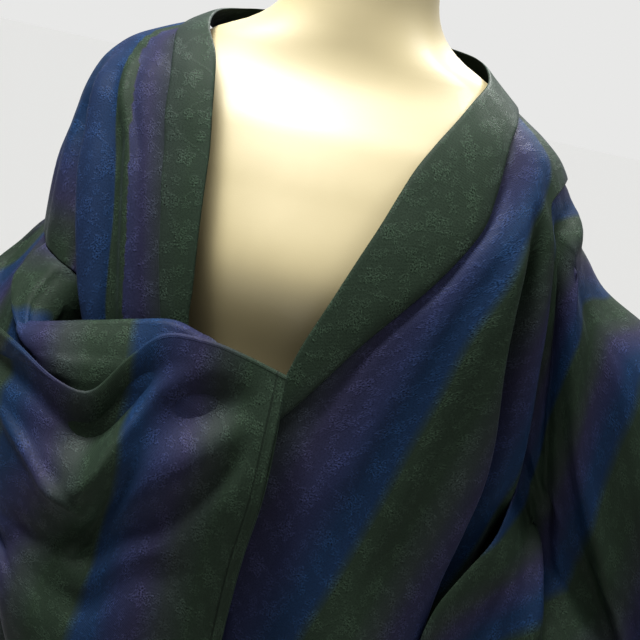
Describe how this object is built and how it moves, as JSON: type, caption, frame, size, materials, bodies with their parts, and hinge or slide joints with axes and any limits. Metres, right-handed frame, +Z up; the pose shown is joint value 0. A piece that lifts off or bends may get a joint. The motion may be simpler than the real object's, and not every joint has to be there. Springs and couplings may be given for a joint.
{
  "type": "kimono coat on a dress form",
  "caption": "Thigh-length wrap coat of kimono cut, open at the neck, hanging on a smooth limbless dress form; one sleeve hangs free, the other lies folded across the front.",
  "frame": {"origin": "on the floor, at the centre of the underside of the stand's round base", "axes": "+Z up; the coat's front faces -Y; +X is the wearer's left"},
  "size_m": [0.6832, 0.3833, 1.43],
  "materials": {
    "coat_cloth": "soft satin crepe, shaded stripes of green, blue and purple",
    "form_cover": "smooth cream, soft gloss",
    "stand_metal": "brushed"
  },
  "bodies": {
    "root": {"body_left": "coat_cloth", "body_right": "coat_cloth", "okumi_left": "coat_cloth", "okumi_right": "coat_cloth", "collar": "coat_cloth", "sleeve_left": "coat_cloth", "sleeve_right": "coat_cloth", "dress_form": "form_cover", "pole": "stand_metal", "base": "stand_metal"}
  },
  "joints": []
}
